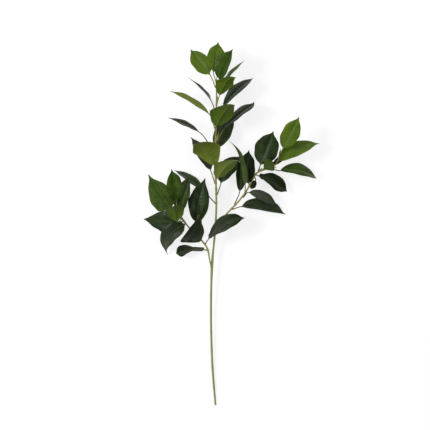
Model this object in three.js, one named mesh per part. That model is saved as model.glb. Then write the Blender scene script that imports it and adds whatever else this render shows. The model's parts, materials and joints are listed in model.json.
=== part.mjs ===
// A cut branch of banyan, lying on a flat surface with its leafy end raised on its own leaves.
//
// One main stem carries two side branches. Every leaf is a blade and its stalk in one piece, whose foot
// ends just clear of the bark at its node. The cut end points to -Y, the growing tips to +Y, and +Z is up.
// Lengths are in millimetres and angles in degrees.
import * as THREE from 'three';

// ---------------------------------------------------------------- driving dimensions

const GAP = 0.3; // clearance between a leaf's foot and the bark
const STEM_SIDES = 8;
const STEM_STEP = 12; // length of one straight facet of a stem

const STALK_RADIUS = 1.1;
const STALK_ROWS = 3;
const BLADE_TOP = 0.5; // how far the midrib stands out on the upper side of a flat blade
const BLADE_BOTTOM = 0.9; // and on the underside
const BLADE_THINNING = 0.75; // share of its thickness that the midrib loses towards the tip
const DRIP_TIP_FROM = 0.85; // where along the blade the drip tip begins
const ARCH = 15;
const FOLD = 8;

// Half width of a blade along its length, as shares of the length and of the greatest half width.
// It is broadest in the middle and runs out in a narrow drip tip.
const BLADE_OUTLINE = [
  [0.00, 0.10], [0.04, 0.32], [0.12, 0.62], [0.24, 0.87], [0.37, 0.98], [0.50, 1.00],
  [0.62, 0.93], [0.74, 0.74], [0.83, 0.47], [0.90, 0.21], [0.95, 0.09], [1.00, 0.03],
];

const MAIN_STEM = {
  name: 'main_stem',
  route: [
    [0, 0, 2.3], [-8, 105, 7], [-11, 245, 13], [-8, 355, 22], [-1, 430, 29], [2, 490, 36],
    [1, 549, 43], [-2, 591, 47], [0, 647, 52], [2, 725, 58], [3, 796, 62],
  ],
  radii: [[0, 2.2], [120, 2.4], [318, 2.4], [330, 2.9], [362, 2.9], [374, 2.2], [600, 2.0], [800, 1.4]],
};

const LEFT_BRANCH = {
  name: 'left_branch',
  route: [
    [-13, 336, 25], [-15, 362, 28], [-20, 388, 31], [-31, 404, 33], [-50, 423, 38],
    [-74, 451, 45], [-97, 487, 54],
  ],
  radii: [[0, 1.6], [60, 1.8], [200, 1.3]],
};

const RIGHT_BRANCH = {
  name: 'right_branch',
  route: [
    [3.5, 450, 35], [16, 461, 37], [36, 482, 41], [56, 503, 46], [73, 525, 49], [87, 549, 52],
    [100, 572, 56], [115, 579, 58], [130, 583, 59], [143, 590, 60], [151, 603, 62], [156, 622, 64],
  ],
  radii: [[0, 1.6], [20, 1.9], [180, 1.6], [260, 1.2]],
};

const BARK = { color: 0x8f8f48, roughness: 0.6, metalness: 0 };
const BLADE_TONES = {
  dark: { color: 0x22331e, roughness: 0.5, metalness: 0 },
  mid: { color: 0x3a5a22, roughness: 0.5, metalness: 0 },
  light: { color: 0x5c742a, roughness: 0.5, metalness: 0 },
};

// ---------------------------------------------------------------- the leaves, in order up each branch

// at:     distance of the node along the branch
// stalk:  length, heading and rise. A heading turns clockwise from +Y seen from above, and a rise lifts
//         towards +Z.
// blade:  length, heading and rise of the line from the foot of the blade to its tip
// width:  greatest width, measured along the blade's surface
// roll:   0 has the upper side up, 180 the underside, and 90 turns the upper side to the right
// arch:   bend from foot to tip, with the upper side outside, if not ARCH
// fold:   how far each half is lifted from flat towards the upper side, if not FOLD
// bow:    bend from foot to tip within the blade's own plane, with the right half outside, if any
// wave:   bend into an S out of that plane, starting towards the upper side, if any
// hook:   turn of the drip tip to the right, if any
// broad:  where along the blade it is broadest, if not half way
// kite:   how far the outline goes from BLADE_OUTLINE (0) to a kite with straight edges (1), if any
// tone:   young leaves are light, half-grown ones mid and the others dark
const MAIN_LEAVES = [
  { at: 501, stalk: [42, -43, -8], blade: [91, -55, -11], width: 39, roll: 60, arch: 22 },
  { at: 523, stalk: [30, 18, -7], blade: [86, 38, -15], width: 44, roll: -25, arch: 20, bow: -40 },
  {
    at: 536, stalk: [32, 4, 37], blade: [102, 56, 50], width: 57, roll: -122, arch: 80, bow: -24,
    broad: 0.32, kite: 0.6, tone: 'light',
  },
  { at: 550, stalk: [34, -18, -6], blade: [98, -31, -12], width: 34, roll: 30, bow: 12 },
  {
    at: 577, stalk: [22, 0, 46], blade: [115, -50, 53], width: 72, roll: 141, arch: 88, broad: 0.36,
    kite: 0.85, tone: 'light',
  },
  { at: 616, stalk: [22, 5, -21], blade: [104, 24, -21], width: 43, roll: 0, arch: 20 },
  {
    at: 626, stalk: [62, -37, 7], blade: [82, -66, 4], width: 40, roll: 66, arch: 12, bow: 12, broad: 0.45,
    kite: 0.6,
  },
  {
    at: 652, stalk: [38, 31, 3], blade: [103, 51, -11], width: 50, roll: -62, arch: 20, hook: -40,
    broad: 0.6,
  },
  {
    at: 670, stalk: [22, 0, 39], blade: [112, 46, 56], width: 63, roll: -138, arch: 80, bow: -16,
    broad: 0.27, kite: 0.9, tone: 'mid',
  },
  { at: 684, stalk: [38, -22, 10], blade: [110, -60, 3], width: 40, roll: 106, arch: 22, tone: 'light' },
  {
    at: 713, stalk: [28, 33, -13], blade: [107, 46, -13], width: 50, roll: -58, arch: 36, hook: -8,
    broad: 0.58,
  },
  { at: 725, stalk: [31, -22, 11], blade: [75, -46, 6], width: 34, roll: 74, arch: 20, broad: 0.28 },
  {
    at: 742, stalk: [26, 17, 34], blade: [93, 50, 56], width: 48, roll: -134, arch: 80, broad: 0.32,
    kite: 0.9, tone: 'mid',
  },
  { at: 776, stalk: [19, 40, -10], blade: [81, 42, -9], width: 37, roll: -72, arch: 12, tone: 'light' },
  { at: 783, stalk: [35, -25, 5], blade: [79, -37, -12], width: 41, roll: 0, tone: 'light' },
  { at: 790, stalk: [14, 32, 32], blade: [81, 23, 12], width: 50, roll: -35, fold: 30, tone: 'mid' },
  { at: 798, stalk: [24, -13, 10], blade: [73, 9, -5], width: 43, roll: 0, tone: 'light' },
];

const LEFT_LEAVES = [
  {
    at: 49, stalk: [5, -75, 14], blade: [75, -98, -15.5], width: 40, roll: 46, arch: 2, bow: 42,
    broad: 0.82,
  },
  {
    at: 65, stalk: [21, 32, 47], blade: [103, 60, 4], width: 50, roll: -45, arch: 42, bow: -32,
    broad: 0.6,
  },
  { at: 112, stalk: [60, 27, 52], blade: [104, 212, -45], width: 54, roll: -38, arch: 80, broad: 0.6 },
  {
    at: 118, stalk: [22, 50, -7], blade: [111, 10, 7], width: 52, roll: 0, bow: -22, broad: 0.46,
    kite: 0.25,
  },
  {
    at: 139, stalk: [8, 175, 52], blade: [100, -150, -30], width: 41, roll: 14, arch: 78, bow: 76,
    broad: 0.36,
  },
  { at: 144, stalk: [15, -108, -12], blade: [95, -84, -26.5], width: 54, roll: 0, broad: 0.37, kite: 0.6 },
  { at: 150, stalk: [24, -115, 56], blade: [76, -15, 62], width: 46, roll: 167, arch: 75, tone: 'mid' },
  { at: 157, stalk: [16, -20, -6], blade: [92, 18, 4], width: 48, roll: -38, broad: 0.37, tone: 'mid' },
  {
    at: 179, stalk: [14, -82, 15], blade: [98, -32, 4], width: 59, roll: 4, bow: -10, broad: 0.32,
    tone: 'mid',
  },
  { at: 181, stalk: [19, 0, 27], blade: [80, -8, 17], width: 46, roll: 34, bow: -15, tone: 'mid' },
];

const RIGHT_LEAVES = [
  { at: 51, stalk: [23, 74, -3], blade: [118, 100, -19.5], width: 54, roll: -42, arch: 25, fold: 38 },
  { at: 64, stalk: [34, 22, -4], blade: [78, -3, 12], width: 28, roll: 30, bow: 14 },
  { at: 91, stalk: [18, 50, 0], blade: [78, 114, -9], width: 40, roll: -50, fold: 20, arch: 5 },
  {
    at: 104, stalk: [25, -2, 45], blade: [114, -21, 9], width: 42, roll: 106, arch: 48, wave: -30,
    broad: 0.34, tone: 'mid',
  },
  { at: 120, stalk: [10, 5, -48], blade: [88, 1, -18], width: 39, roll: 0, bow: -24 },
  { at: 146, stalk: [12, 158, -50], blade: [30, 208, -35], width: 16, roll: 0, arch: 10 },
  {
    at: 154, stalk: [6, 118, -15], blade: [88, 118, -22], width: 48, roll: -40, arch: 4, bow: -36,
    broad: 0.66,
  },
  { at: 165, stalk: [18, 18, 27], blade: [85, 21, 5], width: 58, roll: 0 },
  {
    at: 172, stalk: [10, 55, 50], blade: [36, 56, 42], width: 36, roll: 180, arch: 45, kite: 0.5,
    tone: 'mid',
  },
  {
    at: 197, stalk: [22, 105, -16], blade: [104, 102, -24], width: 46, roll: -50, arch: 64,
    broad: 0.55, tone: 'mid',
  },
  { at: 198, stalk: [6, 45, -30], blade: [50, 50, -18], width: 16, roll: -20, arch: 10 },
  { at: 208, stalk: [12, 40, 0], blade: [110, 67, -7], width: 40, roll: -28, bow: -34, tone: 'light' },
  { at: 240, stalk: [13, 28, 17], blade: [85, 27, 11], width: 43, roll: 0, tone: 'light' },
];

// ---------------------------------------------------------------- shaping

function heading(turn, rise) {
  const turned = THREE.MathUtils.degToRad(turn);
  const risen = THREE.MathUtils.degToRad(rise);
  const flat = Math.cos(risen);
  return new THREE.Vector3(flat * Math.sin(turned), flat * Math.cos(turned), Math.sin(risen));
}

function routeCurve(route) {
  const points = route.map((point) => new THREE.Vector3(...point));
  return new THREE.CatmullRomCurve3(points, false, 'centripetal');
}

// The value at a distance along a list of [distance, value] stops.
function between(stops, distance) {
  const next = stops.findIndex(([place]) => place >= distance);
  if (next === 0) return stops[0][1];
  if (next < 0) return stops[stops.length - 1][1];
  const [[fromPlace, from], [toPlace, to]] = [stops[next - 1], stops[next]];
  return THREE.MathUtils.mapLinear(distance, fromPlace, toPlace, from, to);
}

// Closes a cylinder of the given sides and rows, then moves each of its rings. place(row, side) gives a
// ring's corner, and place(row, null) the middle of the ring, where the end caps meet.
function skin(sides, rows, place) {
  const geometry = new THREE.CylinderGeometry(1, 1, rows, sides, rows);
  const corners = geometry.attributes.position;
  for (let index = 0; index < corners.count; index += 1) {
    const [x, y, z] = [corners.getX(index), corners.getY(index), corners.getZ(index)];
    const row = Math.round(y + rows / 2);
    const side = Math.round((Math.atan2(x, z) / (2 * Math.PI)) * sides + sides) % sides;
    const middle = Math.hypot(x, z) < 0.5;
    corners.setXYZ(index, ...place(row, middle ? null : side));
  }
  geometry.computeVertexNormals();
  return geometry;
}

// ---------------------------------------------------------------- stems

function stemMesh(stem) {
  const curve = routeCurve(stem.route);
  const length = curve.getLength();
  const rows = Math.round(length / STEM_STEP);
  const frames = curve.computeFrenetFrames(rows);
  const geometry = skin(STEM_SIDES, rows, (row, side) => {
    const centre = curve.getPointAt(row / rows);
    if (side === null) return centre;
    const around = (2 * Math.PI * side) / STEM_SIDES;
    const radius = between(stem.radii, (length * row) / rows);
    centre.addScaledVector(frames.normals[row], radius * Math.cos(around));
    return centre.addScaledVector(frames.binormals[row], radius * Math.sin(around));
  });
  return namedMesh(stem.name, geometry, BARK);
}

function namedMesh(name, geometry, finish) {
  const mesh = new THREE.Mesh(geometry, new THREE.MeshStandardMaterial(finish));
  mesh.name = name;
  return mesh;
}

// ---------------------------------------------------------------- leaves

// Where a stalk's foot stands: beside the bark at its node, on the side that the stalk leaves to.
function footOf(leaf, stem) {
  const curve = routeCurve(stem.route);
  const along = curve.getTangentAt(leaf.at / curve.getLength());
  const node = curve.getPointAt(leaf.at / curve.getLength());
  const leaving = heading(leaf.stalk[1], leaf.stalk[2]);
  const lean = leaving.dot(along);
  const side = leaving.clone().addScaledVector(along, -lean).normalize();
  const clear = between(stem.radii, leaf.at) + GAP + STALK_RADIUS * Math.abs(lean);
  return node.addScaledVector(side, clear);
}

// The upper side's normal of a blade that runs along a direction, turned by its roll.
function upperNormal(along, roll) {
  const up = new THREE.Vector3(0, 0, 1);
  up.addScaledVector(along, -up.dot(along)).normalize();
  return up.applyAxisAngle(along, THREE.MathUtils.degToRad(roll));
}

function leafMesh(name, leaf, stem) {
  const { arch = ARCH, fold = FOLD, bow = 0, wave = 0, hook = 0 } = leaf;
  const { broad = 0.5, kite = 0, tone = 'dark' } = leaf;
  const foot = footOf(leaf, stem);
  const [stalkLength, stalkTurn, stalkRise] = leaf.stalk;
  const [bladeLength, bladeTurn, bladeRise] = leaf.blade;
  const chord = heading(bladeTurn, bladeRise);
  const upper = upperNormal(chord, leaf.roll);
  const crosswise = chord.clone().cross(upper);
  const height = (bend) => (2 / 3) * bladeLength * Math.tan(THREE.MathUtils.degToRad(bend / 4));
  const base = foot.clone().addScaledVector(heading(stalkTurn, stalkRise), stalkLength);
  const beside = (share, rightward, upward) => {
    const point = base.clone().addScaledVector(chord, bladeLength * share);
    return point.addScaledVector(crosswise, rightward).addScaledVector(upper, upward);
  };
  const stalkCurve = new THREE.LineCurve3(foot, base);
  const bladeCurve = new THREE.CubicBezierCurve3(
    base,
    beside(1 / 3, height(bow), height(arch + wave)),
    beside(2 / 3, height(bow), height(arch - wave)),
    beside(1, 0, 0),
  );
  const warp = Math.log(broad) / Math.log(0.5);
  const rows = STALK_ROWS + BLADE_OUTLINE.length - 1;

  const geometry = skin(4, rows, (row, side) => {
    const onBlade = row - STALK_ROWS;
    const [stop, oval] = onBlade < 0 ? [0, 0] : BLADE_OUTLINE[onBlade];
    const breadth = THREE.MathUtils.lerp(oval, 1 - Math.abs(2 * stop - 1), kite);
    const share = stop ** warp;
    const curve = onBlade < 0 ? stalkCurve : bladeCurve;
    const place = onBlade < 0 ? row / STALK_ROWS : share;
    const point = curve.getPoint(place);
    const drip = Math.max(0, stop - DRIP_TIP_FROM) * bladeLength;
    point.addScaledVector(crosswise, drip * Math.tan(THREE.MathUtils.degToRad(hook)));
    if (side === null) return point;

    const along = curve.getTangent(place);
    const across = crosswise.clone().addScaledVector(along, -crosswise.dot(along)).normalize();
    const normal = across.clone().cross(along);
    if (onBlade < 0) {
      const outward = side % 2 === 0 ? across : normal;
      return point.addScaledVector(outward, (side === 1 || side === 2 ? 1 : -1) * STALK_RADIUS);
    }
    const thinning = 1 - BLADE_THINNING * share;
    if (side === 1) return point.addScaledVector(normal, BLADE_TOP * thinning);
    if (side === 3) return point.addScaledVector(normal, -BLADE_BOTTOM * thinning);
    const half = Math.max((leaf.width / 2) * breadth, STALK_RADIUS * thinning);
    const lift = THREE.MathUtils.degToRad(fold);
    point.addScaledVector(across, (side === 2 ? 1 : -1) * half * Math.cos(lift));
    return point.addScaledVector(normal, half * Math.sin(lift));
  });
  turnDiagonals(geometry, rows);
  return namedMesh(name, geometry, BLADE_TONES[tone]);
}

// Splits the two lower faces of each row along the same diagonals as the two upper ones, so that a
// twisted blade keeps its thickness.
function turnDiagonals(geometry, rows) {
  const corners = geometry.index;
  for (let face = 2 * rows; face < 4 * rows; face += 1) {
    const [first, second, fourth] = [0, 1, 2].map((place) => corners.getX(6 * face + place));
    const third = corners.getX(6 * face + 4);
    [first, second, third, first, third, fourth].forEach((corner, place) => {
      corners.setX(6 * face + place, corner);
    });
  }
}

function leavesOf(stem, leaves, prefix) {
  return leaves.map((leaf, index) => {
    const number = String(index + 1).padStart(2, '0');
    return leafMesh(`${prefix}_${number}`, leaf, stem);
  });
}

// ---------------------------------------------------------------- the branch

const branch = new THREE.Group();
branch.add(stemMesh(MAIN_STEM), stemMesh(LEFT_BRANCH), stemMesh(RIGHT_BRANCH));
branch.add(...leavesOf(MAIN_STEM, MAIN_LEAVES, 'main_leaf'));
branch.add(...leavesOf(LEFT_BRANCH, LEFT_LEAVES, 'left_leaf'));
branch.add(...leavesOf(RIGHT_BRANCH, RIGHT_LEAVES, 'right_leaf'));

// The origin is the middle of the footprint, on the surface that the branch lies on.
const reach = new THREE.Box3().setFromObject(branch, true);
const middle = reach.getCenter(new THREE.Vector3());
branch.position.set(-middle.x, -middle.y, -reach.min.z);

export default branch;
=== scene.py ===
import itertools
import json
import math

import bmesh
import bpy
import numpy as np
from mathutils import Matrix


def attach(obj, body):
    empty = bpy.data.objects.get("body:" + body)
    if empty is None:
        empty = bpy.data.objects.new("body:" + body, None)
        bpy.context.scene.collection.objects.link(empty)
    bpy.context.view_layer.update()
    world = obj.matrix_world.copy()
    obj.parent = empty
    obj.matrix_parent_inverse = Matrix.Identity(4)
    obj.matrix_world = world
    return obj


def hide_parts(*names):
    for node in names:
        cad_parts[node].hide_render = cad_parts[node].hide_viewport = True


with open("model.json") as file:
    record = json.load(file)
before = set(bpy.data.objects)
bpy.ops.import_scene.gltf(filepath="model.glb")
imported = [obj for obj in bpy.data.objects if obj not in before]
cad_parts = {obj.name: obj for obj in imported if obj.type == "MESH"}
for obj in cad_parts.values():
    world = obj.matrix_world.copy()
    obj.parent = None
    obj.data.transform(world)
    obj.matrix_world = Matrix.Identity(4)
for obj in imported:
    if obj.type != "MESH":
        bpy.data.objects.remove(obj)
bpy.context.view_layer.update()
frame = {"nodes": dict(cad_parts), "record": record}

# ---------------------------------------------------------------------------------------------------
# Camera. It hangs straight above the branch, far enough off that nothing is foreshortened, with the cut
# end at the bottom of the view.
# ---------------------------------------------------------------------------------------------------
CAMERA_HEIGHT = 3.2
CAMERA_STANDS = (-0.0388, 0.0252)  # beside the middle of the branch's box, which is the frame's origin
FIELD_WIDTH = 1.0632  # what the view takes in at the height of the surface
SENSOR_WIDTH = 36.0

camera_data = bpy.data.cameras.new("camera")
camera_data.sensor_width = SENSOR_WIDTH
camera_data.lens = SENSOR_WIDTH * CAMERA_HEIGHT / FIELD_WIDTH
camera = bpy.data.objects.new("camera", camera_data)
camera.location = (*CAMERA_STANDS, CAMERA_HEIGHT)
bpy.context.scene.collection.objects.link(camera)
bpy.context.scene.camera = camera

# ---------------------------------------------------------------------------------------------------
# Stems. The main stem and its two side branches are green wood under smooth olive bark. They thicken at
# every node, carry the ring scar of its stipule there, and end in a pointed bud or in the saw's cut.
# ---------------------------------------------------------------------------------------------------
STEM_LEAVES = {"main_stem": "main_leaf", "left_branch": "left_leaf", "right_branch": "right_leaf"}
SOLID_STEM_CORNERS = 8  # round each ring of a stem's solid
SOLID_LEAF_CORNERS = 4  # round each ring of a leaf's solid
SOLID_MERGE = 0.00001  # corners of a solid that lie closer than this are one
SKIN_MERGE = 0.0000005  # and corners of a skin
STEM_CURVE_STEPS = 8  # from one ring of the solid to the next
STEM_CORNERS = 24
STEM_ROW = 0.0022  # length of one row of faces
BARK_FULLNESS = 0.10  # how much fuller the round bark is than the solid's eight-sided one
FULL_FROM = 0.05  # how far up a stem the bark is that full
JOINT_REACH = (0.004, 0.0095)  # how far from the parent's middle line a branch is drawn into its bark
BRANCH_ROOT = 0.003  # how far a branch's foot goes on inside the parent's bark
NODE_SWELLING = 0.00055
NODE_LENGTH = 0.0034
SCAR_HEIGHT = 0.00022
SCAR_LENGTH = 0.0005
SCAR_ABOVE_NODE = 0.0038
HEALED_STEP = 0.046  # spacing of the healed nodes on the bare stretch
HEALED_SWELLING = NODE_SWELLING / 3
HEALED_SCAR = SCAR_HEIGHT / 2
STEM_BUD_LENGTH = 0.010
STEM_BUD_POINT = 0.55  # how full the bud is behind its tip, over its foot
BARK_RIDGES = ((0.012, 3, 21), (0.010, 5, -47))  # height over the radius, number, turn to the metre
CUT_SLANT = 0.25  # how far the cut's middle stands out, over the radius
CUT_RIM = 0.88  # where the wood of the cut begins to show, over the radius
CUT_WOOD = 0.80  # where it shows fully


def rings_of(node, corners):
    """The rings of corners that a node's skin passes through, from its wider end to its narrower one."""
    skin = bmesh.new()
    skin.from_mesh(frame["nodes"][node].data)
    bmesh.ops.remove_doubles(skin, verts=skin.verts, dist=SOLID_MERGE)

    def reach(corner):
        return max(edge.calc_length() for edge in corner.link_edges)

    poles = sorted((v for v in skin.verts if len(v.link_edges) == corners), key=reach)[:2]
    ring = [edge.other_vert(poles[1]) for edge in poles[1].link_edges]
    passed = {poles[1]}
    rings = []
    while len(ring) == corners:
        rings.append(np.array([corner.co for corner in ring], float))
        passed.update(ring)
        ahead = [edge.other_vert(corner) for corner in ring for edge in corner.link_edges]
        ring = [corner for corner in dict.fromkeys(ahead) if corner not in passed]
    skin.free()
    return rings


def smooth_through(points, steps):
    """A curve through points, with a number of steps between each two of them."""
    padded = np.concatenate([2 * points[:1] - points[1:2], points, 2 * points[-1:] - points[-2:-1]])
    share = np.arange(steps).reshape(-1, 1) / steps
    stretches = []
    for before, start, end, after in zip(padded, padded[1:], padded[2:], padded[3:]):
        slope_in = (end - before) / 2
        slope_out = (after - start) / 2
        bend = 3 * (end - start) - 2 * slope_in - slope_out
        turn = 2 * (start - end) + slope_in + slope_out
        stretches.append(start + slope_in * share + bend * share**2 + turn * share**3)
    return np.concatenate([*stretches, points[-1:]])


def lengths_along(route):
    """How far along a route each of its points is."""
    return np.concatenate([[0], np.cumsum(np.linalg.norm(np.diff(route, axis=0), axis=1))])


def unit(vectors):
    return vectors / np.linalg.norm(vectors, axis=-1, keepdims=True)


def sampled(values, places, wanted):
    """Values given at places, read at the wanted places."""
    columns = [np.interp(wanted, places, column) for column in np.atleast_2d(values.T)]
    return np.stack(columns, axis=-1) if values.ndim > 1 else columns[0]


def carried_along(route, start):
    """A crosswise direction at each point of a route, carried from its start without twisting, and the
    direction of the route itself."""
    directions = unit(np.gradient(route, axis=0))
    carried = []
    for direction in directions:
        start = unit(start - np.dot(start, direction) * direction)
        carried.append(start)
    return np.array(carried), directions


def spokes_round(route, start, corners):
    """The directions from each point of a route out to a ring of corners, how far round each corner is,
    and the direction of the route itself."""
    side, direction = carried_along(route, np.array(start))
    other = np.cross(direction, side)
    turns = 2 * math.pi * np.arange(corners) / corners
    spokes = side[:, None] * np.cos(turns)[None, :, None] + other[:, None] * np.sin(turns)[None, :, None]
    return spokes, turns, direction


def swell(distance, length):
    """1 at no distance, and nearly nothing from twice the length on."""
    return np.exp(-((distance / length) ** 2))


def smoothstep(values, low, high):
    """0 up to low, 1 from high on, and a smooth rise between them."""
    share = np.clip((values - low) / (high - low), 0, 1)
    return share * share * (3 - 2 * share)


def rounded(share):
    """The width of a round end: nothing where share is 0, and full from 1 on."""
    return np.sqrt(1 - (1 - np.clip(share, 0, 1)) ** 2)


def wrapped_skin(name, places, notes, under=None):
    """A closed skin from rows of corners, with named notes of three numbers each kept at every corner.
    under says from which corner on the faces are marked as the underside."""
    rows = places.shape[0] - 1
    corners = places.shape[1]
    skin = bmesh.new()
    bmesh.ops.create_grid(skin, x_segments=corners, y_segments=rows, size=1)
    layers = {note: skin.verts.layers.float_vector.new(note) for note in notes}
    side = skin.faces.layers.float.new("under")
    for face in skin.faces:
        column = int((face.calc_center_median().x + 1) / 2 * corners)
        face[side] = 1.0 if under is not None and column >= under else 0.0
        face.smooth = True
    for vertex in skin.verts:
        column = round((vertex.co.x + 1) / 2 * corners) % corners
        row = round((vertex.co.y + 1) / 2 * rows)
        for note, numbers in notes.items():
            vertex[layers[note]] = numbers[row, column]
        vertex.co = places[row, column]
    bmesh.ops.remove_doubles(skin, verts=skin.verts, dist=SKIN_MERGE)
    bmesh.ops.recalc_face_normals(skin, faces=skin.faces)
    mesh = bpy.data.meshes.new(name)
    skin.to_mesh(mesh)
    skin.free()
    piece = bpy.data.objects.new(name, mesh)
    bpy.context.scene.collection.objects.link(piece)
    return piece


def middle_line(stem):
    """The middle line of a stem's solid, and the solid's radius at each of its points."""
    rings = rings_of(stem, SOLID_STEM_CORNERS)
    route = smooth_through(np.array([ring.mean(axis=0) for ring in rings]), STEM_CURVE_STEPS)
    girths = np.array([[np.linalg.norm(ring - ring.mean(axis=0), axis=1).mean()] for ring in rings])
    return route, smooth_through(girths, STEM_CURVE_STEPS)[:, 0]


def node_distances(stem, route, along):
    """How far along a stem each of its leaves grows."""
    places = []
    for name in frame["nodes"]:
        if name.startswith(STEM_LEAVES[stem]):
            foot = rings_of(name, SOLID_LEAF_CORNERS)[0].mean(axis=0)
            places.append(along[np.argmin(np.linalg.norm(route - foot, axis=1))])
    return sorted(places)


def joined_to(parent, route):
    """A branch's route, with its foot drawn into the bark of the parent that it runs beside."""
    beside = sampled(parent, parent[:, 1], route[:, 1])
    away = route - beside
    return beside + away * smoothstep(np.linalg.norm(away, axis=1), *JOINT_REACH)[:, None]


def swollen(radius, places, nodes, healed):
    """A stem's radius with its nodes and their ring scars, and how near a node each place is."""
    nearness = np.zeros_like(places)
    for node in nodes:
        radius = radius + NODE_SWELLING * swell(places - node, NODE_LENGTH)
        radius = radius + SCAR_HEIGHT * swell(places - node - SCAR_ABOVE_NODE, SCAR_LENGTH)
        nearness = np.maximum(nearness, swell(places - node, 2 * NODE_LENGTH))
    for node in healed:
        radius = radius + HEALED_SWELLING * swell(places - node, 2 * NODE_LENGTH)
        radius = radius + HEALED_SCAR * swell(places - node, SCAR_LENGTH)
    return radius, nearness


def draw_stem(stem):
    """Skins a stem along its solid's middle line, and on into a bud. Its notes are how young the bark is,
    how near a node it is, and whether it is the wood of the cut."""
    is_main = stem == "main_stem"
    route, girths = middle_line(stem)
    if not is_main:
        route = joined_to(middle_line("main_stem")[0], route)
    along = lengths_along(route)
    nodes = node_distances(stem, route, along)
    healed = np.arange(HEALED_STEP, nodes[0] - HEALED_STEP / 2, HEALED_STEP) if is_main else []

    bud = route[-1] + unit(route[-1] - route[-3]) * STEM_BUD_LENGTH
    route = np.concatenate([route, [bud]])
    along = np.append(along, along[-1] + STEM_BUD_LENGTH)
    girths = np.append(girths, girths[-1])
    length = along[-1]
    places = np.linspace(0, length, round(length / STEM_ROW) + 1)
    middle = sampled(route, along, places)
    spokes, turns, direction = spokes_round(middle, (1.0, 0.0, 0.0), STEM_CORNERS)

    radius = sampled(girths, along, places) * (1 + BARK_FULLNESS * smoothstep(places, 0, FULL_FROM))
    radius, nearness = swollen(radius, places, nodes, healed)
    to_tip = np.clip((length - places) / STEM_BUD_LENGTH, 0, 1)
    radius = radius * rounded(to_tip) * (STEM_BUD_POINT + (1 - STEM_BUD_POINT) * to_tip)
    ridges = np.ones((len(places), STEM_CORNERS))
    for height, number, turn in BARK_RIDGES:
        ridges = ridges + height * np.sin(number * turns[None, :] + turn * places[:, None])
    skin = middle[:, None] + spokes * (radius[:, None] * ridges)[:, :, None]
    notes = np.zeros(skin.shape)
    notes[:, :, 0] = (places / length)[:, None]
    notes[:, :, 1] = nearness[:, None]

    # The foot is a slanting cut on the main stem, and a point hidden in the parent's bark on a branch.
    if is_main:
        slant = CUT_SLANT * radius[0] * direction[0]
        edge = skin[:1] + slant * (1 + np.sin(turns)[None, :, None])
        centre = middle[:1, None] + slant + np.zeros_like(edge)
        rim = centre + (edge - centre) * CUT_RIM
        wood = centre + (edge - centre) * CUT_WOOD
        skin = np.concatenate([centre, wood, rim, edge, skin[1:]])
        cut_notes = np.zeros((3, STEM_CORNERS, 3))
        cut_notes[:2, :, 2] = 1
        notes = np.concatenate([cut_notes, notes])
    else:
        root = middle[:1, None] - direction[0] * BRANCH_ROOT + np.zeros_like(skin[:1])
        skin = np.concatenate([root, skin])
        notes = np.concatenate([notes[:1], notes])
    skin[-1] = middle[-1]
    return wrapped_skin(f"{stem}_bark", skin, {"bark_note": notes})


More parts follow.
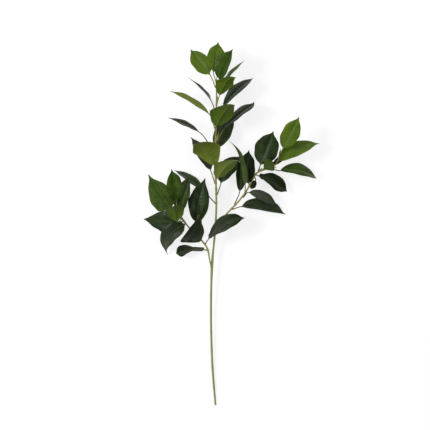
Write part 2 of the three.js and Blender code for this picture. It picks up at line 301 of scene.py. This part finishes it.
class Paint:
    """A short way to write down the nodes of a material, or of the room's light."""

    def __init__(self, painted, shader="Principled BSDF"):
        painted.use_nodes = True
        self.painted = painted
        self.nodes = painted.node_tree.nodes
        self.sockets = self.nodes[shader].inputs

    def add(self, kind, links=None, **settings):
        node = self.nodes.new(kind)
        for key, value in settings.items():
            setattr(node, key, value)
        for socket, value in (links or {}).items():
            self.put(node.inputs[socket], value)
        return node

    def put(self, socket, value):
        if isinstance(value, bpy.types.NodeSocket):
            self.painted.node_tree.links.new(value, socket)
        elif socket.type == "RGBA":
            socket.default_value = (*value, 1.0)
        else:
            socket.default_value = value

    def set(self, **values):
        """Puts values into the shader's sockets, which are named with _ for each space."""
        for name, value in values.items():
            self.put(self.sockets[name.replace("_", " ")], value)

    def math(self, operation, first, second=0.0, third=0.0):
        node = self.add("ShaderNodeMath", operation=operation)
        for socket, value in zip(node.inputs, (first, second, third)):
            self.put(socket, value)
        return node.outputs[0]

    def times(self, first, second):
        return self.math("MULTIPLY", first, second)

    def ramp(self, value, low, high, start=0.0, end=1.0):
        """value taken from low..high to start..end, smoothly."""
        node = self.add("ShaderNodeMapRange", interpolation_type="SMOOTHSTEP")
        for socket, setting in zip(node.inputs, (value, low, high, start, end)):
            self.put(socket, setting)
        return node.outputs[0]

    def fade(self, value, low, high):
        """1 up to low, and 0 from high on."""
        return self.ramp(value, low, high, 1.0, 0.0)

    def mix(self, share, first, second):
        node = self.add("ShaderNodeMix", data_type="RGBA")
        self.put(node.inputs["Factor"], share)
        self.put(node.inputs[6], first)
        self.put(node.inputs[7], second)
        return node.outputs[2]

    def shade(self, colour, value):
        """A colour made darker or lighter by a value round 1."""
        return self.add("ShaderNodeVectorMath", {0: colour, "Scale": value}, operation="SCALE").outputs[0]

    def spot(self):
        """Where on the piece the ray meets it."""
        return self.add("ShaderNodeTexCoord").outputs["Object"]

    def noise(self, scale, detail, stretch=(1, 1, 1)):
        """Noise of a number of patches to the metre."""
        placed = self.add("ShaderNodeMapping", {"Vector": self.spot()})
        placed.inputs["Scale"].default_value = stretch
        links = {"Vector": placed.outputs[0], "Scale": scale, "Detail": detail}
        return self.add("ShaderNodeTexNoise", links).outputs["Fac"]

    def cells(self, scale):
        """How far each spot is from the wall of its cell, with a number of cells to the metre."""
        links = {"Vector": self.spot(), "Scale": scale}
        return self.add("ShaderNodeTexVoronoi", links, feature="DISTANCE_TO_EDGE").outputs["Distance"]

    def kept(self, name):
        """What is kept on the mesh under a name."""
        return self.add("ShaderNodeAttribute", attribute_name=name, attribute_type="GEOMETRY").outputs

    def notes(self, name):
        """The three numbers kept at each corner under a name."""
        return self.add("ShaderNodeSeparateXYZ", {"Vector": self.kept(name)["Vector"]}).outputs

    def bands(self, name, stretch, drift):
        """Noise that runs along the notes under a name, and changes from place to place by drift."""
        links = {0: self.kept(name)["Vector"], 1: stretch}
        run = self.add("ShaderNodeVectorMath", links, operation="MULTIPLY").outputs[0]
        links = {0: self.spot(), 1: (drift,) * 3, 2: run}
        placed = self.add("ShaderNodeVectorMath", links, operation="MULTIPLY_ADD").outputs[0]
        links = {"Vector": placed, "Scale": 1.0, "Detail": 2.0}
        return self.add("ShaderNodeTexNoise", links).outputs["Fac"]

    def seen(self):
        """1 for the camera's rays and for those that a gloss or a glass sends on."""
        ray = self.add("ShaderNodeLightPath").outputs
        passed_on = self.math("MAXIMUM", ray["Is Glossy Ray"], ray["Is Transmission Ray"])
        return self.math("MAXIMUM", ray["Is Camera Ray"], passed_on)

    def bump(self, height, distance):
        links = {"Height": height, "Distance": distance, "Strength": 1.0}
        return self.add("ShaderNodeBump", links).outputs["Normal"]


# A pattern is its number of patches to the metre, and how finely they are broken up. Colours come in twos
# where the patches run from the one to the other.
NOISE_SPREAD = (0.3, 0.7)  # most of a noise lies between these
BARK_PATCHES = (40, 3)
BARK_OLIVES = ((0.215, 0.215, 0.055), (0.28, 0.285, 0.085))
BROWN_PATCHES = (14, 2)
BROWN_EDGE = (0.5, 0.75)
BROWN_BARK = (0.21, 0.185, 0.065)
FRESH_BARK = (0.23, 0.25, 0.05)
FRESH_SETS_IN = (0.55, 1.0)  # along the stem
FRESH_SHARE = 0.5
NODE_BARK = (0.33, 0.25, 0.05)
NODE_SHARE = 0.3
BARK_STREAKS = (600, 4, (1, 0.06, 1))  # drawn out along the stem
STREAK_SHADES = (0.85, 1.12)
STREAK_DEPTH = 0.0002
BARK_GLOSS_SPREAD = (0.2, 0.8)
BARK_ROUGHNESS = (0.45, 0.62)
WOOD_GRAIN = (900, 3)
WOOD_COLOURS = ((0.30, 0.25, 0.14), (0.20, 0.16, 0.09))


def bark_material():
    paint = Paint(bpy.data.materials.new("bark"))
    young, near_node, cut = paint.notes("bark_note")
    streaks = paint.noise(*BARK_STREAKS)
    olive = paint.mix(paint.noise(*BARK_PATCHES), *BARK_OLIVES)
    brown = paint.mix(paint.ramp(paint.noise(*BROWN_PATCHES), *BROWN_EDGE), olive, BROWN_BARK)
    fresh = paint.mix(paint.ramp(young, *FRESH_SETS_IN, 0.0, FRESH_SHARE), brown, FRESH_BARK)
    node = paint.mix(paint.times(near_node, NODE_SHARE), fresh, NODE_BARK)
    streaked = paint.shade(node, paint.ramp(streaks, *NOISE_SPREAD, *STREAK_SHADES))
    wood = paint.mix(paint.noise(*WOOD_GRAIN), *WOOD_COLOURS)
    paint.set(
        Base_Color=paint.mix(cut, streaked, wood),
        Roughness=paint.ramp(streaks, *BARK_GLOSS_SPREAD, *BARK_ROUGHNESS),
        Normal=paint.bump(streaks, STREAK_DEPTH),
    )
    return paint.painted


bark = bark_material()
for stem in STEM_LEAVES:
    piece = draw_stem(stem)
    piece.data.materials.append(bark)
    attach(piece, "root")
    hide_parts(stem)

# ---------------------------------------------------------------------------------------------------
# Old leaves. Each is a leathery oval blade with a drip tip, on a round stalk that runs on under the blade
# as its midrib. The upper side is dark and waxy, the underside paler and matt, and side veins run out
# from the midrib in pairs.
# ---------------------------------------------------------------------------------------------------
# Places along a blade are shares of its length, and places across it are shares of its half width. Where
# something sets in or fades away, the two places are the start and the end of that.
STALK_EVENNESS = 0.0001  # a solid's ring as even as this belongs to the stalk, and any other to the blade
BLADE_CURVE_STEPS = 16  # from one ring of the solid to the next
ACROSS = (0, .02, .045, .08, .13, .2, .28, .37, .46, .55, .64, .73, .82, .9, .96, .99, 1)
FOOT_ROWS = (0, 0.012, 0.025, 0.04)
VEIN_ROWS = (0, .1, .25, .5, .75, .9)  # from one side vein to the next
TIP_GAP = 0.012  # from the last of those rows to the first one of the tip
TIP_ROWS = 9
BLADE_THICKNESS = 0.00048
MARGIN_SHARPNESS = 10  # how near the margin the blade keeps its thickness, as a power
THICKNESS_SETS_IN = (-0.01, 0.05)
FOOT_WIDTH = 0.34  # how wide a blade is at least in its first half, over its greatest width
FOOT_WIDTH_SETS_IN = (0.0, 0.08)
FOOT_WIDTH_FADES = (0.4, 0.7)
FOOT_ROUNDING = 0.07  # how far up the blade its rounded foot goes
TIP_ROUNDING = 0.03
RELIEF_SETS_IN = (0.0, 0.12)
CROWN = 0.07  # how far each half stands up between midrib and margin, over its width
RIPPLE = 0.035  # how far the margin swings up and down, over the half width
MARGIN_SWING = 0.035  # how far it swings in and out
MARGIN_SWING_SETS_IN = (0.05, 0.3)
RIPPLE_WAVES = (2.1, 2.4, 1.9)  # number, shift from leaf to leaf, shift from half to half
MARGIN_WAVES = (2.6, 4.08, 2.3)  # the same three numbers
VEIN_PAIRS = 10
FIRST_VEIN = 0.06
VEIN_STEP = 0.088
VEIN_LEAN = (0.34, 0.36)  # how far a side vein runs forward, over its run outward
VEIN_WIDTH = 0.12  # over the step from one to the next
VEIN_GROOVE = 0.00012  # on the upper side
VEIN_HEIGHT = 0.00010  # on the underside
PANEL_HEIGHT = 0.00030  # how far the blade stands up between two side veins
VEINS_SET_IN = (0.02, 0.08)
VEINS_FADE = (0.85, 0.97)
VEINS_FADE_ACROSS = (0.75, 0.97)
RIB_AT_FOOT = 1.07  # the midrib's radius over the stalk's
RIB_AT_TIP = 0.12
RIB_TAPER = 0.9  # how it thins out between the two, as a power
RIB_SINKS = (0.0, 0.10)  # where the upper half of the stalk goes down into the blade
RIB_GROOVE = 0.00028
RIB_GROOVE_WIDTH = 0.0005
RIB_GROOVE_SETS_IN = (0.04, 0.15)
RIB_GROOVE_LOSS = 0.7  # how much of the groove is lost towards the tip
STALK_RADIUS = 0.0011
STALK_ROWS = 14
STALK_FLARE = 0.3  # how much thicker a stalk is at its foot, over its radius
STALK_SWELLING = 0.3  # how much the pad at its foot adds to that
STALK_PAD = 0.004  # how long that pad is
STALK_FOOT_RADIUS = STALK_RADIUS * (1 + STALK_FLARE + STALK_SWELLING)
STALK_ROOT = 0.0016  # how far a stalk reaches into the bark
# How light a leaf is, which is its own tone and, on some steep leaves, partly painted sheen, and how much
# painted grey sheen it has at its foot and at its tip.
PLAIN_LOOK = (1.0, 0.0, 0.0)
LEAF_LOOKS = {
    "main_leaf_01": (2.6, 0.2, 0.35),
    "main_leaf_02": (1.2, 0.1, 0.1),
    "main_leaf_03": (1.35, 0.3, 0.25),
    "main_leaf_04": (1.2, 0.3, 0.4),
    "main_leaf_05": (0.9, 0.05, 0.05),
    "main_leaf_06": (1.5, 0.2, 0.1),
    "main_leaf_07": (1.1, 0.5, 0.5),
    "main_leaf_08": (1.0, 0.1, 0.4),
    "main_leaf_09": (1.2, 0.05, 0.15),
    "main_leaf_10": (1.35, 0.3, 0.1),
    "main_leaf_11": (1.0, 0.1, 0.5),
    "main_leaf_12": (1.1, 0.8, 0.8),
    "main_leaf_13": (1.35, 0.0, 0.0),
    "main_leaf_14": (1.7, 0.0, 0.0),
    "main_leaf_15": (1.1, 0.0, 0.0),
    "main_leaf_17": (1.15, 0.0, 0.0),
    "left_leaf_01": (0.85, 0.7, -0.1),
    "left_leaf_02": (0.85, 0.6, -0.15),
    "left_leaf_03": (0.6, -0.2, 0.4),
    "left_leaf_05": (0.85, -0.1, 0.9),
    "left_leaf_06": (1.2, 0.0, 0.05),
    "left_leaf_07": (0.95, 0.08, 0.12),
    "left_leaf_08": (0.55, 0.0, 0.15),
    "left_leaf_09": (1.3, 0.1, 0.0),
    "left_leaf_10": (1.25, 0.0, 0.0),
    "right_leaf_01": (1.4, 0.2, 0.1),
    "right_leaf_02": (1.35, 0.0, 0.0),
    "right_leaf_03": (1.3, 0.8, 0.1),
    "right_leaf_04": (0.62, 0.25, 0.12),
    "right_leaf_05": (0.95, 0.0, 0.0),
    "right_leaf_07": (0.9, 0.0, 0.0),
    "right_leaf_08": (1.15, 0.05, -0.05),
    "right_leaf_09": (0.65, 0.1, 0.1),
    "right_leaf_10": (1.15, 0.0, 0.0),
    "right_leaf_12": (1.3, 0.0, 0.25),
    "right_leaf_13": (1.1, 0.0, 0.0),
}

# The rows of a blade, and the places across it of a ring of corners. The ring starts at the left margin
# and goes over the top to the right one, and back underneath.
SIDE_VEINS = FIRST_VEIN + VEIN_STEP * np.arange(VEIN_PAIRS)
VEINED_ROWS = [vein + VEIN_STEP * row for vein in SIDE_VEINS for row in VEIN_ROWS]
LAST_ROWS = np.linspace(VEINED_ROWS[-1] + TIP_GAP, 1, TIP_ROWS)
BLADE_ROWS = np.array([*FOOT_ROWS, *VEINED_ROWS, *LAST_ROWS])
OVER_THE_TOP = [*(-place for place in ACROSS[::-1]), *ACROSS[1:]]
RING = np.array([*OVER_THE_TOP, *OVER_THE_TOP[-2:0:-1]])[None, :]
RIGHT_MARGIN = RING.size // 2
IS_TOP = np.arange(RING.size)[None, :] <= RIGHT_MARGIN


def stations_of(node):
    """Left margin, right margin, midrib and upward direction at each ring of a blade's solid, and the
    foot of its stalk."""
    rings = rings_of(node, SOLID_LEAF_CORNERS)
    spreads = [np.ptp(np.linalg.norm(ring - ring.mean(axis=0), axis=1)) for ring in rings]
    blade = [ring for ring, spread in zip(rings, spreads) if spread >= STALK_EVENNESS]
    pairs = list(itertools.combinations(range(SOLID_LEAF_CORNERS), 2))
    lines = []
    for ring, ahead in zip(blade, [*blade[1:], blade[-1] * 2 - blade[-2]]):
        margins = max(pairs, key=lambda pair: np.linalg.norm(ring[pair[0]] - ring[pair[1]]))
        between = ring[list(margins)].mean(axis=0)
        rest = set(range(SOLID_LEAF_CORNERS)) - set(margins)
        rib = sorted(rest, key=lambda c: np.linalg.norm(ring[c] - between))
        upper = unit(ring[rib[0]] - ring[rib[1]])
        along = ahead.mean(axis=0) - ring.mean(axis=0)
        rightward = np.cross(along, upper)
        left, right = sorted(margins, key=lambda c: np.dot(ring[c] - between, rightward))
        lines.append((ring[left], ring[right], ring[rib].mean(axis=0), upper))
    left, right, midrib, upper = (np.array(line) for line in zip(*lines))
    return left, right, midrib, upper, rings[0].mean(axis=0)


def waving(spot, leaf, number, leaf_shift, side_shift):
    """A number of waves along a blade, which differ from leaf to leaf and from half to half."""
    shift = leaf_shift * leaf + np.where(RING > 0, side_shift, 0)
    return np.sin(2 * math.pi * number * spot + shift)


def half_width(spot, half, leaf):
    """A blade's half width at each spot, with a waving margin, a round foot and a round tip."""
    swing = MARGIN_SWING * waving(spot, leaf, *MARGIN_WAVES) * smoothstep(spot, *MARGIN_SWING_SETS_IN)
    half = half * (1 + swing)
    in_first_half = smoothstep(spot, *FOOT_WIDTH_SETS_IN) * (1 - smoothstep(spot, *FOOT_WIDTH_FADES))
    half = np.maximum(half, FOOT_WIDTH * half.max() * in_first_half)
    half = np.maximum(half * rounded(spot / FOOT_ROUNDING), STALK_RADIUS)
    return half * rounded((1 - spot) / TIP_ROUNDING)


def relief(spot, half, leaf):
    """How far a blade's upper side and its underside stand off the plane of the solid, at each corner."""
    rows = BLADE_ROWS[:, None]
    across = np.abs(RING)
    bulge = 4 * across * (1 - across)
    set_in = smoothstep(rows, *RELIEF_SETS_IN)
    lift = set_in * half * (CROWN * bulge + RIPPLE * across**3 * waving(spot, leaf, *RIPPLE_WAVES))

    step = (rows - FIRST_VEIN) / VEIN_STEP
    from_vein = np.abs(step - np.round(step))
    in_veins = smoothstep(rows, *VEINS_SET_IN) * (1 - smoothstep(rows, *VEINS_FADE))
    vein = swell(from_vein, VEIN_WIDTH) * in_veins * (1 - smoothstep(across, *VEINS_FADE_ACROSS))
    lift = lift + PANEL_HEIGHT * np.sin(math.pi * from_vein) ** 2 * in_veins * bulge - VEIN_GROOVE * vein

    beside = across * half
    rib_under = STALK_RADIUS * ((RIB_AT_FOOT - RIB_AT_TIP) * (1 - rows) ** RIB_TAPER + RIB_AT_TIP)
    rib_over = STALK_RADIUS * (1 - smoothstep(rows, *RIB_SINKS))
    thick = BLADE_THICKNESS / 2 * np.sqrt(1 - across**MARGIN_SHARPNESS)
    thick = thick * smoothstep(rows, *THICKNESS_SETS_IN)
    groove = RIB_GROOVE * swell(beside, RIB_GROOVE_WIDTH)
    groove = groove * smoothstep(rows, *RIB_GROOVE_SETS_IN) * (1 - RIB_GROOVE_LOSS * rows)
    over = np.maximum(thick, np.sqrt(np.maximum(rib_over**2 - beside**2, 0))) - groove
    under = np.maximum(thick, np.sqrt(np.maximum(rib_under**2 - beside**2, 0))) + VEIN_HEIGHT * vein
    depth = np.where(IS_TOP, over, -under)
    return lift + np.where(across < 1, depth, 0) * (half > 0)


def blade_skin(left, right, midrib, upper, leaf):
    """The corners of a blade, and its half width at each of them. A row leans forward as side veins do."""
    reach = lengths_along(midrib)
    share = reach / reach[-1]
    widths = sampled(np.linalg.norm(right - left, axis=1) / 2, share, BLADE_ROWS)
    across = np.abs(RING)
    lean = VEIN_LEAN[0] * across + VEIN_LEAN[1] * across**2
    spot = np.clip(BLADE_ROWS[:, None] + lean * (widths / reach[-1])[:, None], 0, 1)
    spot[-1] = 1

    middle = sampled(midrib, share, spot)
    normal = unit(sampled(upper, share, spot))
    edge = np.where((RING > 0)[..., None], sampled(right, share, spot), sampled(left, share, spot))
    outward = edge - middle
    half = np.linalg.norm(outward, axis=-1)
    outward = outward / half[..., None]
    half = half_width(spot, half, leaf)
    beside = (across * half)[..., None]
    return middle + outward * beside + normal * relief(spot, half, leaf)[..., None], half


def stalk_skin(foot, midrib, across):
    """The corners of a stalk, which bends from the way it leaves the bark into the way the blade runs,
    and how far along it each row is. across is the direction across the blade's foot."""
    base = midrib[0]
    onward = unit(midrib[2] - midrib[0])
    leaving = unit(base - foot)
    third = np.linalg.norm(base - foot) / 3
    bends = (foot - leaving * STALK_ROOT, foot + leaving * third, base - onward * third, base)
    time = np.linspace(0, 1, STALK_ROWS + 1)[:, None]
    weights = ((1 - time) ** 3, 3 * time * (1 - time) ** 2, 3 * time**2 * (1 - time), time**3)
    route = sum(weight * bend for weight, bend in zip(weights, bends))
    sideways, backward = carried_along(route[::-1], across)
    sideways, forward = sideways[::-1], -backward[::-1]
    raised = np.cross(sideways, forward)
    pad = swell(lengths_along(route), STALK_PAD)[:, None]
    radius = STALK_RADIUS * (1 + STALK_FLARE * (1 - time) + STALK_SWELLING * pad)
    reach_out = (radius * RING)[..., None]
    height = (radius * np.sqrt(1 - RING**2) * np.where(IS_TOP, 1, -1))[..., None]
    skin = route[:, None] + sideways[:, None] * reach_out + raised[:, None] * height
    return np.concatenate([route[:1, None] + np.zeros_like(skin[:1]), skin]), time[:, 0]


def draw_leaf(node, leaf):
    """Skins a leaf from its foot to its tip. Its notes are the place across (-1 to 1), the place along,
    below 0 on the stalk, and the half width in millimetres."""
    left, right, midrib, upper, foot = stations_of(node)
    left, right, midrib, upper = (
        smooth_through(line, BLADE_CURVE_STEPS) for line in (left, right, midrib, upper)
    )
    blade, half = blade_skin(left, right, midrib, upper, leaf)
    stalk, time = stalk_skin(foot, midrib, unit(right[0] - left[0]))
    skin = np.concatenate([stalk[:-1], blade])
    notes = np.zeros(skin.shape)
    notes[:, :, 0] = RING
    notes[:, :, 1] = np.concatenate([[-1], time[:-1] - 1, BLADE_ROWS])[:, None]
    notes[: len(stalk) - 1, :, 2] = STALK_FOOT_RADIUS * 1000
    notes[len(stalk) - 1:, :, 2] = half * 1000
    looks = np.zeros(skin.shape) + LEAF_LOOKS.get(node, PLAIN_LOOK)
    return wrapped_skin(f"{node}_grown", skin, {"leaf_note": notes, "leaf_look": looks}, RIGHT_MARGIN)


# Painted sheen: the grey that stands in for light reflected off a leaf's surface.
PAINTED_SHEEN_GREY = (0.085, 0.088, 0.065)
PAINTED_SHEEN_SHARES = (0.8, 1.2)  # from patch to patch
STALK_FOOT_COLOUR = (0.28, 0.21, 0.05)
STALK_FOOT_FADES = (-1.0, -0.75)
BLADE_COLOUR_SETS_IN = (-0.6, 0.0)  # along the stalk
BLADE_COLOUR_SHARE = 0.85
LEAF_PATCHES = (55, 3)
LEAF_PATCH_EDGE = (0.35, 0.65)
LEAF_GRAIN = (900, 3)
GRAIN_SHADES = (0.93, 1.07)
GRAIN_DEPTH = 0.00008
# Painted highlight: soft lighter bands along each blade, painted where its gloss would catch the lamps.
HIGHLIGHT_STRETCH = (2.2, 1.3, 0.0)  # how many bands across and along
HIGHLIGHT_DRIFT = 7.0  # how far they change from leaf to leaf, to the metre
HIGHLIGHT_EDGE = (0.48, 0.72)
HIGHLIGHT_SHARE = 0.32
VEIN_NET = 420  # cells to the metre
VEIN_NET_WIDTH = 0.12
VEIN_NET_SHARE = 0.07
BLADE_STARTS = (-0.02, 0.05)
SIDE_VEIN_EDGE = (0.03, 0.10)  # over the step from one to the next
SIDE_VEIN_ENDS = (0.6, 0.95)
RIB_WIDTHS = (1.1, 0.25)  # of the midrib's colour, in millimetres at foot and tip
RIB_EDGE = (0.5, 1.0)  # over that width
TOP_SHARES = (0.12, 0.5)  # how much of the veins' colour the side veins and the midrib have
UNDER_SHARES = (0.35, 0.75)
UNDER_ROUGHNESS = 0.6
LEAF_SPECULAR = 0.07
LEAF_SHEEN = 0.05
LEAF_SHEEN_ROUGHNESS = 0.4


def leaf_material(name, top, under, vein, painted_highlight, stalk, roughness):
    """top and under are two colours each, which the blade's patches run between. The highlight colour is
    painted highlight: soft lighter bands along the blade that stand in for its gloss. roughness is that of
    its upper side."""
    paint = Paint(bpy.data.materials.new(name))
    side, along, half = paint.notes("leaf_note")
    lightness, sheen_foot, sheen_tip = paint.notes("leaf_look")
    turned = paint.kept("under")["Fac"]
    across = paint.math("ABSOLUTE", side)
    on_blade = paint.ramp(along, *BLADE_STARTS)
    step = paint.math("DIVIDE", paint.math("SUBTRACT", along, FIRST_VEIN), VEIN_STEP)
    from_vein = paint.math("ABSOLUTE", paint.math("SUBTRACT", step, paint.math("ROUND", step)))
    side_vein = paint.times(paint.fade(from_vein, *SIDE_VEIN_EDGE), paint.fade(across, *SIDE_VEIN_ENDS))
    side_vein = paint.times(side_vein, on_blade)
    rib_width = paint.ramp(along, 0.0, 1.0, *RIB_WIDTHS)
    midrib = paint.fade(paint.math("DIVIDE", paint.times(across, half), rib_width), *RIB_EDGE)

    patches = paint.noise(*LEAF_PATCHES)
    grain = paint.noise(*LEAF_GRAIN)
    faces = []
    for colours, (vein_share, rib_share) in ((top, TOP_SHARES), (under, UNDER_SHARES)):
        face = paint.mix(paint.ramp(patches, *LEAF_PATCH_EDGE), *colours)
        face = paint.mix(paint.times(side_vein, vein_share), face, vein)
        faces.append(paint.mix(paint.times(midrib, rib_share), face, vein))
    blade = paint.shade(paint.mix(turned, *faces), lightness)
    # Painted sheen: grey mixed into the blade, running from the foot's share to the tip's share, where a
    # leaf would reflect the light.
    painted_sheen = paint.math("MULTIPLY_ADD", along, paint.math("SUBTRACT", sheen_tip, sheen_foot), sheen_foot)
    painted_sheen = paint.times(painted_sheen, paint.ramp(patches, *NOISE_SPREAD, *PAINTED_SHEEN_SHARES))
    blade = paint.mix(paint.math("MAXIMUM", painted_sheen, 0.0), blade, PAINTED_SHEEN_GREY)
    # Painted highlight: lighter bands along the blade that stand in for gloss on its creases.
    bands = paint.bands("leaf_note", HIGHLIGHT_STRETCH, HIGHLIGHT_DRIFT)
    blade = paint.mix(paint.ramp(bands, *HIGHLIGHT_EDGE, 0.0, HIGHLIGHT_SHARE), blade, painted_highlight)
    blade = paint.shade(blade, paint.ramp(grain, *NOISE_SPREAD, *GRAIN_SHADES))
    net = paint.fade(paint.cells(VEIN_NET), 0.0, VEIN_NET_WIDTH)
    blade = paint.mix(paint.times(net, VEIN_NET_SHARE), blade, vein)
    stalk = paint.mix(paint.ramp(along, *STALK_FOOT_FADES), STALK_FOOT_COLOUR, stalk)
    towards_blade = paint.ramp(along, *BLADE_COLOUR_SETS_IN)
    stalk = paint.mix(paint.times(towards_blade, BLADE_COLOUR_SHARE), stalk, blade)
    paint.set(
        Base_Color=paint.mix(on_blade, stalk, blade),
        Roughness=paint.ramp(turned, 0, 1, roughness, UNDER_ROUGHNESS),
        Specular_IOR_Level=LEAF_SPECULAR,
        Sheen_Weight=LEAF_SHEEN,
        Sheen_Roughness=LEAF_SHEEN_ROUGHNESS,
        Normal=paint.bump(grain, GRAIN_DEPTH),
    )
    return paint.painted


def grow(tone, material):
    """Every leaf of a tone, in its own piece."""
    own = [part["node"] for part in frame["record"]["subparts"] if part["material_slot"] == tone]
    for leaf, node in enumerate(own):
        piece = draw_leaf(node, leaf)
        piece.data.materials.append(material)
        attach(piece, "root")
        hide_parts(node)


grow("leaf_dark", leaf_material(
    "old_leaf",
    top=((0.006, 0.015, 0.003), (0.014, 0.030, 0.006)),
    under=((0.033, 0.040, 0.013), (0.046, 0.053, 0.018)),
    vein=(0.08, 0.10, 0.035),
    painted_highlight=(0.085, 0.118, 0.060),
    stalk=(0.14, 0.15, 0.05),
    roughness=0.28,
))

# ---------------------------------------------------------------------------------------------------
# Half-grown leaves. They are the same leathery blades on the same round stalks as the old ones, and grow
# from the bark in the same way. Their green is fresher, on both sides and on the stalk.
# ---------------------------------------------------------------------------------------------------
grow("leaf_mid", leaf_material(
    "half_grown_leaf",
    top=((0.019, 0.047, 0.002), (0.040, 0.077, 0.004)),
    under=((0.056, 0.098, 0.004), (0.075, 0.123, 0.007)),
    vein=(0.10, 0.15, 0.03),
    painted_highlight=(0.100, 0.170, 0.045),
    stalk=(0.25, 0.28, 0.08),
    roughness=0.30,
))

# ---------------------------------------------------------------------------------------------------
# Young leaves. These are the newest ones, at the tips of the stems. Their soft blades are yellow green, a
# little less glossy than the old ones, and grow on pale stalks.
# ---------------------------------------------------------------------------------------------------
grow("leaf_light", leaf_material(
    "young_leaf",
    top=((0.054, 0.100, 0.005), (0.077, 0.131, 0.008)),
    under=((0.122, 0.168, 0.012), (0.155, 0.208, 0.020)),
    vein=(0.14, 0.19, 0.04),
    painted_highlight=(0.170, 0.240, 0.050),
    stalk=(0.33, 0.35, 0.10),
    roughness=0.34,
))

# ---------------------------------------------------------------------------------------------------
# Leaf buds. Some leaves have a pointed bud between their stalk and the stem, wrapped in papery scales
# that run from yellow green to brown. It grows out of the bark, half way between the two.
# ---------------------------------------------------------------------------------------------------
LEAF_BUDS = {  # the leaves that have one, and its length
    "main_leaf_08": 0.022,
    "main_leaf_13": 0.020,
    "left_leaf_07": 0.015,
    "left_leaf_09": 0.013,
    "right_leaf_08": 0.011,
    "right_leaf_10": 0.012,
}
LEAF_BUD_RADIUS = 0.0021
LEAF_BUD_ROWS = 18
LEAF_BUD_CORNERS = 16
LEAF_BUD_BEND = 0.15  # how far its tip bends towards the stem's direction, over its length
LEAF_BUD_TAPER = 1.8  # how it thins out towards its tip, as a power
LEAF_BUD_FOOT = 0.6  # how thick its foot is, over its greatest radius
LEAF_BUD_FULL_FROM = 0.35  # share of its length where it is full
SCALE_RIDGES = (0.05, 2, 5)  # height over the radius, number, turn over the bud's length
SCALE_COLOURS = ((0.25, 0.28, 0.05), (0.34, 0.20, 0.04))
SCALE_BROWN_SETS_IN = (0.25, 1.0)
SCALE_STREAKS = (700, 3)
SCALE_SHADES = (0.8, 1.15)
SCALE_DEPTH = 0.0001
SCALE_ROUGHNESS = 0.55


def draw_bud(leaf, length):
    """Skins a bud between a leaf's stalk and its stem. Its first note is how far along it a spot is."""
    _, _, midrib, _, foot = stations_of(leaf)
    stem = next(stem for stem, prefix in STEM_LEAVES.items() if leaf.startswith(prefix))
    route = middle_line(stem)[0]
    nearest = min(np.argmin(np.linalg.norm(route - foot, axis=1)), len(route) - 2)
    upward = unit(route[nearest + 1] - route[nearest - 1])
    direction = unit(unit(midrib[0] - foot) + upward)

    time = np.linspace(0, 1, LEAF_BUD_ROWS + 1)[:, None]
    start = (route[nearest] + foot) / 2
    middle = start + length * (direction * time + LEAF_BUD_BEND * upward * time**2)
    spokes, turns, _ = spokes_round(middle, (0.0, 0.0, 1.0), LEAF_BUD_CORNERS)
    height, number, turn = SCALE_RIDGES
    scales = 1 + height * np.cos(number * turns + turn * time)
    fullness = LEAF_BUD_FOOT + (1 - LEAF_BUD_FOOT) * smoothstep(time, 0, LEAF_BUD_FULL_FROM)
    radius = LEAF_BUD_RADIUS * (1 - time**LEAF_BUD_TAPER) * fullness * scales
    radius[[0, -1]] = 0
    notes = np.zeros(spokes.shape)
    notes[:, :, 0] = time
    return wrapped_skin(f"{leaf}_bud", middle[:, None] + spokes * radius[..., None], {"bud_note": notes})


def bud_material():
    paint = Paint(bpy.data.materials.new("bud_scale"))
    along = paint.notes("bud_note")[0]
    streaks = paint.noise(*SCALE_STREAKS)
    scale = paint.mix(paint.ramp(along, *SCALE_BROWN_SETS_IN), *SCALE_COLOURS)
    paint.set(
        Base_Color=paint.shade(scale, paint.ramp(streaks, *NOISE_SPREAD, *SCALE_SHADES)),
        Roughness=SCALE_ROUGHNESS,
        Normal=paint.bump(streaks, SCALE_DEPTH),
    )
    return paint.painted


bud_scale = bud_material()
for leaf, length in LEAF_BUDS.items():
    piece = draw_bud(leaf, length)
    piece.data.materials.append(bud_scale)
    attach(piece, "root")

# ---------------------------------------------------------------------------------------------------
# Studio. A white table under two large soft lamps and an even white room. The table is lifted to full
# white for the camera and for reflections, and still takes the branch's shadow.
# ---------------------------------------------------------------------------------------------------
TABLE_SIDE = 12.0
TABLE_DROP = 0.0005  # how far it lies below the branch
TABLE_WHITE = (0.3, 0.3, 0.3)
TABLE_ROUGHNESS = 0.9
TABLE_LIFT = 0.76  # what the table is lifted by, for the eye and in reflections
LAMPS = (  # name, place, size, power
    ("key_lamp", (-1.9, 0.4, 2.1), 0.9, 40.0),
    ("fill_lamp", (1.4, 0.9, 2.4), 1.6, 10.0),
)
WHITE = (1.0, 1.0, 1.0)
ROOM_LIGHT = 0.5  # what the room gives, beside the full white that the camera sees of it


def table_material():
    paint = Paint(bpy.data.materials.new("table"))
    paint.set(
        Base_Color=TABLE_WHITE,
        Roughness=TABLE_ROUGHNESS,
        Specular_IOR_Level=0.0,
        Emission_Color=WHITE,
        Emission_Strength=paint.times(paint.seen(), TABLE_LIFT),
    )
    return paint.painted


table_skin = bmesh.new()
bmesh.ops.create_grid(table_skin, x_segments=1, y_segments=1, size=TABLE_SIDE / 2)
table_mesh = bpy.data.meshes.new("table")
table_skin.to_mesh(table_mesh)
table_skin.free()
table = bpy.data.objects.new("table", table_mesh)
table.location = (0, 0, -TABLE_DROP)
table.data.materials.append(table_material())
bpy.context.scene.collection.objects.link(table)

for name, place, size, power in LAMPS:
    lamp_data = bpy.data.lights.new(name, "AREA")
    lamp_data.shape = "DISK"
    lamp_data.size = size
    lamp_data.energy = power
    lamp = bpy.data.objects.new(name, lamp_data)
    lamp.location = place
    lamp.rotation_euler = lamp.location.to_track_quat("Z", "Y").to_euler()
    bpy.context.scene.collection.objects.link(lamp)

room = Paint(bpy.data.worlds.new("room"), "Background")
room.set(Color=WHITE, Strength=room.ramp(room.seen(), 0.0, 1.0, ROOM_LIGHT, 1.0))
bpy.context.scene.world = room.painted
bpy.context.scene.view_settings.view_transform = "Standard"
